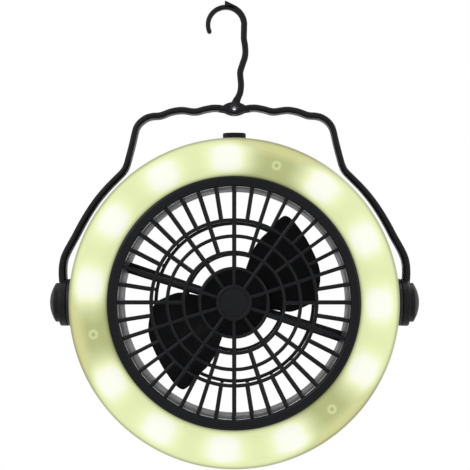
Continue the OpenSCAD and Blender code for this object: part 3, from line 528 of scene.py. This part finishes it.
lens = dict(name="diffuser_ring", body="housing", slot="diffuser_milky", nodes=["diffuser"], look=milkyLens,
            outer=100.75, inner=77.0, face=23.5, wall=1.8, lip=0.6, shoulder=6.0)
outer, inner, face, wall, lip = lens["outer"], lens["inner"], lens["face"], lens["wall"], lens["lip"]
place(lathed(rounded([
    (outer, rimZ, 0.3), (outer, face, lens["shoulder"]), (inner + wall + 0.5, face, lip),
    (inner + wall - 0.1, face + lip, 0.5), (inner, face + lip, lip), (inner, face - wall - lip, 0),
    (inner + wall, face - wall - lip, 0), (inner + wall, face - wall, 0),
    (outer - wall, face - wall, lens["shoulder"] - wall), (outer - wall, rimZ, 0.3)], 6), 240), lens)
print("stage: diffuser")


# rings and spokes of both grilles, with the number of spokes in each band
bars = dict(firstRing=20.7, pitch=9.8, width=2.2, depth=3.0, crest=0.95, foot=0.25, outer=40, middle=20,
            inner=10, innerStart=18)
ringRadii = [bars["firstRing"] + bars["pitch"] * k for k in range(4)]


def barAlong(bm, start, end, low):
    # a bar along X with a round crest on its front side
    part = bmesh.new()
    middle = low + bars["depth"] / 2
    bmesh.ops.create_cube(part, size=1)
    bmesh.ops.scale(part, vec=(end - start, bars["width"], bars["depth"]), verts=part.verts)
    bmesh.ops.translate(part, vec=((start + end) / 2, 0, middle), verts=part.verts)
    lengthwise = [e for e in part.edges if abs(e.verts[0].co.x - e.verts[1].co.x) > 0.1]
    upper = [e for e in lengthwise if e.verts[0].co.z > middle]
    bevelled(part, [e for e in lengthwise if e.verts[0].co.z < middle], bars["foot"], 1)
    bevelled(part, [e for e in upper if e.is_valid], bars["crest"], 4)
    joined(bm, part)


def ringBar(bm, radius, low):
    # a ring with nearly the section of a spoke
    half, foot, crest = bars["width"] / 2, bars["foot"], bars["width"] / 2 * 0.92
    high = low + bars["depth"]
    joined(bm, lathed(rounded([(radius + half, low, foot), (radius + half, high, crest),
                               (radius - half, high, crest), (radius - half, low, foot)], 4), 160))


def spokes(bm, count, start, end, low, first=0):
    # spokes from one radius to another, at equal angles
    turned(bm, lambda part: barAlong(part, start, end, low), [first + k * 360 / count for k in range(count)])


def bands(bm, hub, end, low):
    # the three bands of spokes, from the rim inwards
    spokes(bm, bars["outer"], ringRadii[3], end, low)
    spokes(bm, bars["middle"], ringRadii[1], ringRadii[3], low)
    spokes(bm, bars["inner"], hub, ringRadii[1], low, bars["innerStart"])


front = dict(name="front_grille_moulding", body="housing", slot="grille_black", nodes=["front_grille"],
             look=polishedAbs, back=20.5, bezel=76.8, bezelEdge=1.7, spokeStart=10.0, overlap=0.8, disc=10.9,
             discRim=2.0, discRise=0.8, discEdge=0.85)
low, high = front["back"], front["back"] + bars["depth"]
bm = lathed(rounded([(front["bezel"], ductFront, 0.2), (front["bezel"], faceZ, front["bezelEdge"]),
                     (ductR, faceZ, front["bezelEdge"]), (ductR, ductFront, 0.2)], 6), 240)
for radius in ringRadii:
    ringBar(bm, radius, low)
bands(bm, front["spokeStart"], ductR + front["overlap"], low)
# the centre disc: a shallow dish inside a round rim
disc, rimTop, discEdge = front["disc"], high + front["discRise"], front["discEdge"]
inside = disc - front["discRim"]
rim = rounded([(disc, low, 0.2), (disc, rimTop, discEdge), (inside, rimTop, discEdge),
               (inside - 0.2, high - 0.1, 0.3)], 5)
joined(bm, lathed([(0, low)] + rim + [(4, high), (0, high + 0.1)], 96, closed=False))
place(bm, front)

# the motor's cup in the rear guard, its ears, and the cap that closes both
motor = dict(cup=14.6, bore=12.4, floor=-18.5, top=-6.2, capTop=-4.4, shaftHole=3.4, ear=2.3, earAt=15.8,
             earFoot=-14.2, thread=0.85, clearance=1.0)
ear = motor["ear"]
earMatrices = [spun(strutAngle - 90 + side) @ shifted(motor["earAt"]) for side in (0, 180)]
guard = dict(name="rear_guard_moulding", body="housing", slot="grille_black", nodes=["rear_guard"],
             look=texturedAbs, back=-20.5, lip=0.8, slip=0.2, overlap=0.9, strutHalf=3.5, strutTaper=0.6,
             strutDepth=4.0, strutEdge=0.8)
low, lipR, lipZ = guard["back"], ductR + guard["lip"], backZ + guard["slip"]
hubEnd, rimEnd = motor["cup"] - 1, ductR + guard["overlap"]
bm = lathed(rounded([(ductR, ductBack, 0.3), (ductOutR, ductBack, 0.1), (ductOutR, backZ + shellWall, 0.1),
                     (lipR, backZ + shellWall, 0), (lipR, lipZ, 0.2), (ductR, lipZ, 0.3)], 3), 200)
for radius in (ringRadii[1], ringRadii[3]):
    ringBar(bm, radius, low)
bands(bm, hubEnd, rimEnd, low)


def strut(part):
    # a little narrower at the motor than at the rim
    half, high = guard["strutHalf"], low + guard["strutDepth"]
    narrow = half - guard["strutTaper"]
    shape = prism([(hubEnd, -narrow), (rimEnd, -half), (rimEnd, half), (hubEnd, narrow)], low, high)
    bevelled(shape, edgesAbove(shape, high - 0.5), guard["strutEdge"])
    joined(part, shape)


turned(bm, strut, [strutAngle, strutAngle + 180])
joined(bm, lathed([(0, low)] + rounded([
    (motor["cup"], low, 0.8), (motor["cup"], motor["top"], 0.2), (motor["bore"], motor["top"], 0.2),
    (motor["bore"], motor["floor"], 0.3)], 4) + [(0, motor["floor"])], 96, closed=False))
for matrix in earMatrices:
    joined(bm, lathed(rounded([
        (ear, motor["earFoot"], 0.6), (ear, motor["top"], 0.2), (motor["thread"], motor["top"], 0),
        (motor["thread"], motor["earFoot"], 0)], 3), 32), matrix)
place(bm, guard)
print("stage: grilles")


duct = dict(name="air_duct_tube", body="housing", slot="duct_grey", nodes=["air_duct"], look=greyAbs,
            flange=80.4, flangeBack=17.2)
place(lathed(rounded([
    (ductR, ductBack, 0.2), (ductR, ductFront, 0.2), (duct["flange"], ductFront, 0.2),
    (duct["flange"], duct["flangeBack"], 0.2), (ductOutR, duct["flangeBack"], 0.6),
    (ductOutR, ductBack, 0.2)], 3), 200), duct)

cap = dict(name="motor_cap_plate", body="housing", slot="grille_black", nodes=["motor_cap"], look=polishedAbs)
low, high = motor["top"], motor["capTop"]
bm = lathed(rounded([(motor["cup"], low, 0.1), (motor["cup"], high, 0.5), (motor["shaftHole"], high, 0.3),
                     (motor["shaftHole"], low, 0.1)], 3), 96)
for matrix in earMatrices:
    joined(bm, lathed(rounded([(ear, low, 0.1), (ear, high, 0.4), (motor["clearance"], high, 0.1),
                               (motor["clearance"], low, 0)], 3), 32), matrix)
place(bm, cap)

fan = dict(name="propeller_moulding", body="rotor", slot="blade_black", nodes=["propeller"],
           look=blackPolypropylene, tip=62.7, root=21.1, rise=15.0, camber=1.4, thickness=0.75, edge=0.3,
           first=-10, span=81, rows=14, hub=22.0, hubHalf=9.0, hubEdge=3.0, wall=1.8, boss=4.0, bossEnd=-3.0)
# the blade's edge, as angle and share of the tip's radius
bladeEdge = curveThrough([(-10, 0.52), (-9, 0.58), (-4, 0.69), (1, 0.79), (9, 0.85), (20, 0.905), (35, 0.932),
                          (47, 0.967), (57, 1), (61, 0.96), (64, 0.79), (67.5, 0.68), (71, 0.52)], 4)


def blade(bm):
    # a grid bent to the blade's outline, pitch and camber, then given its thickness
    part = bmesh.new()
    columns = len(bladeEdge) - 1
    bmesh.ops.create_grid(part, x_segments=columns, y_segments=fan["rows"], size=0.5)
    for v in part.verts:
        angle, reach = bladeEdge[round((v.co.x + 0.5) * columns)]
        radius = fan["root"] + (reach * fan["tip"] - fan["root"]) * (v.co.y + 0.5)
        along = 2 * (angle - fan["first"]) / fan["span"] - 1
        flat = polar(radius, angle)
        v.co = (flat.x, flat.y, fan["rise"] / 2 * along + fan["camber"] * (1 - along * along) - 0.4)
    bmesh.ops.recalc_face_normals(part, faces=part.faces)
    bmesh.ops.solidify(part, geom=part.faces, thickness=fan["thickness"])
    rim = [e for e in part.edges if e.is_manifold and e.calc_face_angle() > 1.0]
    bevelled(part, rim, fan["edge"], 2)
    joined(bm, part)


bm = bmesh.new()
turned(bm, blade, [0, 180])
hub, half, boss = fan["hub"], fan["hubHalf"], fan["boss"]
inside, roof = hub - fan["wall"], half - fan["wall"]
joined(bm, lathed(rounded([
    (0, half, 0), (hub, half, fan["hubEdge"]), (hub, -half, 0.5), (inside, -half, 0.3), (inside, roof, 1.2),
    (boss, roof, 0.3), (boss, fan["bossEnd"], 0.3), (0, fan["bossEnd"], 0)], 6), 128, closed=False))
place(bm, fan)
print("stage: propeller")


toX = {side: Matrix.Scale(side, 4, (1, 0, 0)) @ Matrix.Rotation(math.radians(90), 4, "Y") for side in (1, -1)}
button = dict(name="push_button_cap", body="button", slot="button_black", nodes=["push_button"],
              look=polishedAbs, width=14.4, length=10, corner=2.5, top=105.95, flange=97.07, flangeDepth=1.5,
              flangeStep=1.5, back=-4.0, gap=0.3, edge=0.6, crown=90, plunger=1.6, plungerLength=4.6)
buttonMatrix = shifted(0, 0, button["back"]) @ Matrix.Rotation(math.radians(-90), 4, "X")
door = dict(body="door_", slot="shell_black", look=texturedAbs, inner=72.8, outer=89.8, length=57.6,
            corner=3.0, gap=0.3, slip=0.1, edge=0.35, groove=0.8, grooveLength=6, grooves=(-3, 0, 3),
            ribs=(74.0, 87.1), ribHalf=18, ribTop=-21.0)
post = dict(radius=4.2, top=13.5, thread=1.4, well=2.6, wellEnd=1.2)
shell = dict(name="rear_shell_moulding", body="housing", slot="shell_black", nodes=["rear_shell"],
             look=texturedAbs, sharp=32, corner=6.0, opening=71.3, tongueIn=96.85, tongueOut=98.75,
             tongueTop=12.5, bossStart=99.4, bossBore=2.0)


def doorPlate(angle, gap, low, high):
    # the shape of a battery door, or with a gap that of its opening
    centre, width = ((door["inner"] + door["outer"]) / 2, 0), door["outer"] - door["inner"]
    bm = prism(roundRect(width + 2 * gap, door["length"] + 2 * gap, door["corner"] + gap, centre), low, high)
    bm.transform(spun(angle))
    return bm


shellIn, floorZ = bodyR - shellWall, backZ + shellWall
bm = lathed(rounded([
    (bodyR, rimZ, 0.35), (bodyR, backZ, shell["corner"]), (shell["opening"], backZ, 0.4),
    (shell["opening"], floorZ, 0.2), (shellIn, floorZ, shell["corner"] - shellWall), (shellIn, rimZ - 2, 0),
    (shell["tongueIn"], rimZ - 2, 0), (shell["tongueIn"], shell["tongueTop"], 0.3),
    (shell["tongueOut"], shell["tongueTop"], 0.3), (shell["tongueOut"], rimZ, 0)], 6), 240)
gap = button["gap"]
buttonHole = prism(roundRect(button["width"] + 2 * gap, button["length"] + 2 * gap, button["corner"] + gap),
                   bodyR - 11, bodyR + 9)
buttonHole.transform(buttonMatrix)
bm = cut(bm, [doorPlate(a, door["gap"], backZ - 5, backZ + 5) for a in bayAngles]
         + [rodAt(post["well"], backZ - 5, backZ + 5, postCircleR, a) for a in postAngles] + [buttonHole])
for angle in postAngles:
    # a post with a well for the screw's head, a step, and the hole for its thread
    joined(bm, lathed(rounded([
        (post["radius"], floorZ - 0.1, 0), (post["radius"], post["top"], 0.2),
        (post["thread"], post["top"], 0), (post["thread"], post["wellEnd"], 0),
        (post["well"], post["wellEnd"], 0), (post["well"], backZ + 0.1, 0),
        (post["well"] + 0.2, backZ + 0.1, 0), (post["well"] + 0.2, floorZ - 0.1, 0)], 2), 40),
           spun(angle) @ shifted(postCircleR))
for side in (1, -1):
    # a pivot boss, trimmed clear of the diffuser
    part = lathed(rounded([(shell["bossBore"], shell["bossStart"], 0), (discR, shell["bossStart"], 0),
                           (discR, bossEnd, 0.5), (shell["bossBore"], bossEnd, 0)], 4), 96)
    part.transform(toX[side])
    joined(bm, cut(part, [rodAt(lens["outer"] + 0.2, rimZ, 30, steps=240)]))
place(bm, shell)

for letter, angle in zip("abc", bayAngles):
    bm = doorPlate(0, 0, backZ, floorZ - door["slip"])
    bevelled(bm, [e for e in bm.edges if max(v.co.z for v in e.verts) < backZ + 0.1], door["edge"], 2)
    grooves = []
    for y in door["grooves"]:
        # finger grooves near the door's outer end
        half = door["grooveLength"] / 2
        grooves.append(rodAt(door["groove"], -half, half, steps=24))
        grooves[-1].transform(shifted(door["outer"] - 4.5, y, backZ) @ toX[1])
    bm = cut(bm, grooves)
    for x in door["ribs"]:
        half = door["ribHalf"]
        joined(bm, prism([(x, -half), (x + 1, -half), (x + 1, half), (x, half)],
                         floorZ - 0.15, door["ribTop"]))
    bm.transform(spun(angle))
    place(bm, dict(door, name="battery_door_" + letter + "_plate", body=door["body"] + letter,
                   nodes=["battery_door_" + letter]))

flange, top = button["flange"], button["top"]
bm = prism(roundRect(button["width"], button["length"], button["corner"], steps=6), flange, top)
bevelled(bm, edgesAbove(bm, top - 0.01), button["edge"], 4)
# more rows across the top, which then bends down to both sides
for x in (-5.5, -4, -2.5, -1, 1, 2.5, 4, 5.5):
    bmesh.ops.bisect_plane(bm, geom=bm.verts[:] + bm.edges[:] + bm.faces[:], plane_co=(x, 0, 0),
                           plane_no=(1, 0, 0))
for v in bm.verts:
    if v.co.z > top - 1.5:
        v.co.z -= v.co.x ** 2 / 2 / button["crown"]
step, plunger, low = 2 * button["flangeStep"], button["plunger"], flange - button["plungerLength"]
joined(bm, prism(roundRect(button["width"] + step, button["length"] + step, 3),
                 flange, flange + button["flangeDepth"]))
joined(bm, lathed(rounded([(0, low, 0), (plunger, low, 0.3), (plunger, flange + 0.5, 0),
                           (0, flange + 0.5, 0)], 3), 32, closed=False))
bm.transform(buttonMatrix)
place(bm, button)
print("stage: shell")


bail = dict(name="bail_moulding", body="bail", slot="bail_black", nodes=["bail"], look=handledAbs,
            depth=12.0, edge=1.5, footWidth=4.4, gripWidth=3.6, footY=7.3, gripY=120.0, gripHalf=60.4,
            discIn=103.85, discOut=107.85, knobRoom=12.3, slotHalf=8.3, slotDepth=5.4, cheekEdge=1.0,
            eyeWidth=17.4, eyeHeight=7.7, eyeUp=0.2, eyeEdge=0.7, pinHole=2.02, screwHole=3.06, headHole=5.4,
            headDepth=2.2, washer=9.6, washerDepth=0.55)
discIn, discOut, gripY = bail["discIn"], bail["discOut"], bail["gripY"]
# the arm, as angle and distance outside the shell; then the shoulder, the corner and the waves of the grip
arm = [polar(bodyR + away, angle) for angle, away in [
    (8.5, 6.6), (11.1, 7.5), (13, 7.9), (15.1, 7.9), (18, 7.1), (22.5, 5.8), (27, 5.4), (31.8, 5.25),
    (36.7, 5.25), (41.9, 5.2), (47.6, 5.25), (49.7, 5.65), (51.6, 7.1)]]
grip = [(share * bail["gripHalf"], gripY + rise) for share, rise in [
    (1.085, -29), (1.053, -21.4), (1.025, -14), (1.005, -10.6), (0.967, -7.6), (0.905, -5), (0.84, -3.94),
    (0.76, -3.48), (0.65, -1.18), (0.54, -0.2), (0.405, -1.16), (0.305, 0.24), (0.205, 1.2), (0.1, 0.54)]]
halfPath = curveThrough([((discIn + discOut) / 2, bail["footY"])] + arm + grip + [(0.9, gripY + 0.4)], 6)
bailPath = halfPath + [Vector((-p.x, p.y)) for p in reversed(halfPath)]
bailEnd = len(bailPath) - 1
narrowing = bail["footWidth"] - bail["gripWidth"]
bailWidths = [bail["footWidth"] - narrowing * min(1, 4.4 * min(i, bailEnd - i) / bailEnd)
              for i in range(bailEnd + 1)]


def strap(chosen, depth, edge):
    # a stretch of the bail's strap
    return sweep([bailPath[i] for i in chosen], [bailWidths[i] for i in chosen], depth, edge)


def pinHole():
    bm = rodAt(bail["pinHole"], -8, 8)
    bm.transform(shifted(0, pinY))
    return bm


bm = bmesh.new()
for side in (1, -1):
    # each half of the strap ends at the slot that holds the hook, and its foot leaves room for the domed cap
    chosen = [i for i, p in enumerate(bailPath) if p.x * side > bail["slotHalf"]]
    knobRoom = rodAt(bail["knobRoom"], discOut, discOut + 7, steps=96)
    knobRoom.transform(toX[side])
    joined(bm, cut(strap(chosen, bail["depth"], bail["edge"]), [knobRoom]))
middle = [i for i, p in enumerate(bailPath) if abs(p.x) < bail["slotHalf"] + 2.5]
cheek = (bail["depth"] - bail["slotDepth"]) / 2
# the eye, a lens between two arcs
eyeArc = (bail["eyeWidth"] ** 2 + bail["eyeHeight"] ** 2) / 4 / bail["eyeHeight"]
eyeHalf = math.degrees(math.asin(bail["eyeWidth"] / 2 / eyeArc))
arcMiddle = Vector((0, bail["eyeHeight"] / 2 - eyeArc))
upperArc = [polar(eyeArc, 90 - eyeHalf + eyeHalf * k / 6) + arcMiddle for k in range(12)]
eyeOutline = [p + Vector((0, pinY + bail["eyeUp"])) for p in upperArc + [-p for p in upperArc]]
for side in (1, -1):
    # a cheek of the strap and a cheek of the eye on either side of the slot
    cheekPlace = shifted(0, 0, side * (bail["slotDepth"] + cheek) / 2)
    joined(bm, cut(strap(middle, cheek, bail["cheekEdge"]), [pinHole()]), cheekPlace)
    eye = prism(eyeOutline, -cheek / 2 - 0.1, cheek / 2 + 0.1)
    outer = [e for e in eye.edges if min(v.co.z * side for v in e.verts) > cheek / 2 - 0.2]
    bevelled(eye, outer, bail["eyeEdge"])
    joined(bm, cut(eye, [pinHole()]), cheekPlace)
screwHole, headHole, headZ = bail["screwHole"], bail["headHole"], discOut - bail["headDepth"]
washer, washerZ = bail["washer"], discIn - bail["washerDepth"]
for side in (1, -1):
    # a disc at the foot of each arm, with a hollow for the washer and one for the screw's head
    joined(bm, lathed(rounded([
        (screwHole, discIn, 0.1), (washer, discIn, 0), (washer, washerZ, 0.1), (discR, washerZ, 0.4),
        (discR, discOut, 0.7), (headHole, discOut, 0.2), (headHole, headZ, 0),
        (screwHole, headZ, 0)], 4), 96), toX[side])
place(bm, bail)

knobs = dict(name="knob_caps_domed", body="bail", slot="knob_black", nodes=["knob_caps"], look=handledAbs,
             radius=12.1, height=6.7, rim=2.8, gap=0.05, plug=9.8, plugBore=8.6, plugDepth=1.5, roof=0.2,
             steps=14)
radius, plug, plugBore, low = knobs["radius"], knobs["plug"], knobs["plugBore"], discOut + knobs["gap"]
domeH = knobs["height"] - knobs["rim"] - 0.4
domeR = ((radius - 0.4) ** 2 + domeH ** 2) / (2 * domeH)
domeHalf = math.degrees(math.asin((radius - 0.7) / domeR))
domeAt = Vector((0, discOut + knobs["height"] - domeR))
dome = [domeAt + polar(domeR, 90 - domeHalf * k / knobs["steps"]) for k in range(knobs["steps"] + 1)]
edgeZ = dome[-1].y
rim = rounded([(radius - 0.7, edgeZ, 0), (radius, edgeZ - 0.45, 0.5), (radius, low, 0.3),
               (plug, low, 0)], 5)[1:]
inside = [(plug, discOut - knobs["plugDepth"]), (plugBore, discOut - knobs["plugDepth"]),
          (plugBore, discOut + knobs["roof"]), (0, discOut + knobs["roof"])]
bm = bmesh.new()
for side in (1, -1):
    joined(bm, lathed(dome + rim + inside, 96, closed=False), toX[side])
place(bm, knobs)

pin = dict(name="hook_pin_rivet", body="bail", slot="pin_dark", nodes=["hook_pin"], look=blackOxide,
           bore=1.3, shank=2.0, head=2.8, headDepth=0.5)
bore, shank, head, half = pin["bore"], pin["shank"], pin["head"], bail["depth"] / 2
end = half + pin["headDepth"]
bm = lathed(rounded([(bore, -end, 0.2), (head, -end, 0.3), (head, -half, 0), (shank, -half, 0),
                     (shank, half, 0), (head, half, 0), (head, end, 0.3), (bore, end, 0.2)], 3), 48)
bm.transform(shifted(0, pinY))
place(bm, pin)

hook = dict(name="hook_moulding", body="hook", slot="bail_black", nodes=["hook"], look=handledAbs, depth=4.8,
            stem=3.9, foot=1.9, tip=2.9, step=0.5, edge=1.3, tipEdge=1.2, crown=11.6, crownX=-5.4, bore=2.06,
            bush=3.6, barbEdge=0.7)
crown, half = hook["crown"], hook["depth"] / 2
# the crown's inner side, straight above the axis, is the seat at height hangH
crownRise = hangH - pinY - math.sqrt((crown - hook["stem"] / 2) ** 2 - hook["crownX"] ** 2)
crownAt = Vector((hook["crownX"], crownRise))
# the stem's waves, as distance to the right and share of the crown's height
stem = curveThrough([(x, share * crownRise) for x, share in [
    (0.2, 0.03), (1.5, 0.105), (3.6, 0.195), (4.2, 0.29), (3.7, 0.4), (3.8, 0.45), (5.1, 0.53), (6.5, 0.61),
    (6.95, 0.68), (6.6, 0.765), (6.0, 0.835), (6.05, 0.93)]], 5)
thick = ([p for p in stem if p.length > hook["bush"] - 1]
         + [crownAt + polar(crown, angle) for angle in range(4, 93, 4)])
thin = [crownAt + polar(crown - hook["step"], angle) for angle in range(86, 205, 4)]
# the stem gets wider towards its foot
thickness = [hook["stem"] + max(0, hook["foot"] - 0.35 * i) for i in range(len(thick))]
bm = bmesh.new()
joined(bm, sweep(thick, thickness, hook["depth"], hook["edge"]))
joined(bm, sweep(thin, [hook["tip"]] * len(thin), hook["depth"], hook["tipEdge"], tip=True))
# the barb where the strand gets thinner, as distance outside the crown's middle line and angle
barb = prism([crownAt + polar(crown + out, angle) for out, angle in [
    (3.1, 92), (3.35, 90.5), (1.95, 72), (1.85, 56), (-1, 56), (-1, 94)]], -half, half)
bevelled(barb, [e for e in barb.edges if abs(e.verts[0].co.z - e.verts[1].co.z) < 0.1], hook["barbEdge"])
joined(bm, barb)
joined(bm, lathed(rounded([(hook["bore"], -half, 0.2), (hook["bush"], -half, 0.6), (hook["bush"], half, 0.6),
                           (hook["bore"], half, 0.2)], 3), 64))
bm.transform(shifted(0, pinY))
place(bm, hook)
print("stage: bail and hook")


# the pieces that keep their CAD shape
nodeLooks = dict(led_board=whiteMask, leds=ledPhosphor, grille_screws=zincPlate, assembly_screws=zincPlate,
                 motor=drawnCan, motor_cap_screws=zincPlate, motor_leads=blackInsulation,
                 motor_shaft=zincPlate, battery_trays=greyAbs, cells=shrinkSleeve,
                 contact_springs=nickelPlate, contact_plates=nickelPlate, supply_leads=blackInsulation,
                 lamp_leads=redInsulation, control_board=greenMask, push_switch=phenolic,
                 pivot_screws=zincPlate, friction_washers=nitrile)
for name, look in nodeLooks.items():
    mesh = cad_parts[name].data
    mesh.materials.clear()
    mesh.materials.append(look)

ground = dict(radius=1.4, height=-0.6, sides=96)    # metres, from the hook's seat
bm = bmesh.new()
bmesh.ops.create_circle(bm, cap_ends=True, segments=ground["sides"], radius=ground["radius"],
                        matrix=shifted(z=ground["height"]))
mesh = bpy.data.meshes.new("floor")
bm.to_mesh(mesh)
bm.free()
mesh.materials.append(floorPaper)
floor = bpy.data.objects.new("floor", mesh)
bpy.context.scene.collection.objects.link(floor)

print("stage: done")
